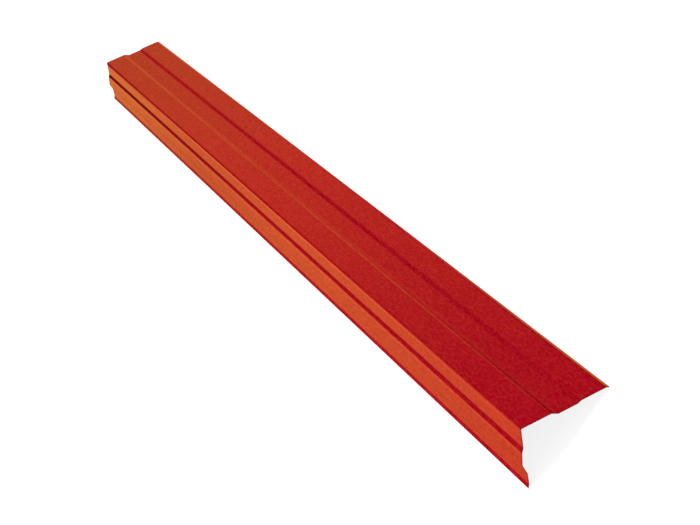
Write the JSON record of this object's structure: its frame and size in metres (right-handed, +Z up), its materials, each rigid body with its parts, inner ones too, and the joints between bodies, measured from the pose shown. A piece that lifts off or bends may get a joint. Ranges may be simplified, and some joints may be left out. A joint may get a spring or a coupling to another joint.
{
  "type": "verge flashing",
  "caption": "Folded sheet-metal trim for a roof verge: a stepped roof flange and a ribbed side flange with a kicked-out drip edge.",
  "frame": {"origin": "on the floor under the middle of the part as it lies, on its free edge and its drip edge with the fold uppermost", "axes": "+X along the fold, +Y towards the free edge of the roof flange, +Z up"},
  "size_m": [2, 0.1566, 0.0633],
  "materials": {
    "painted_sheet": "satin red coil coating"
  },
  "bodies": {
    "root": {"verge_flashing": "painted_sheet"}
  },
  "joints": []
}
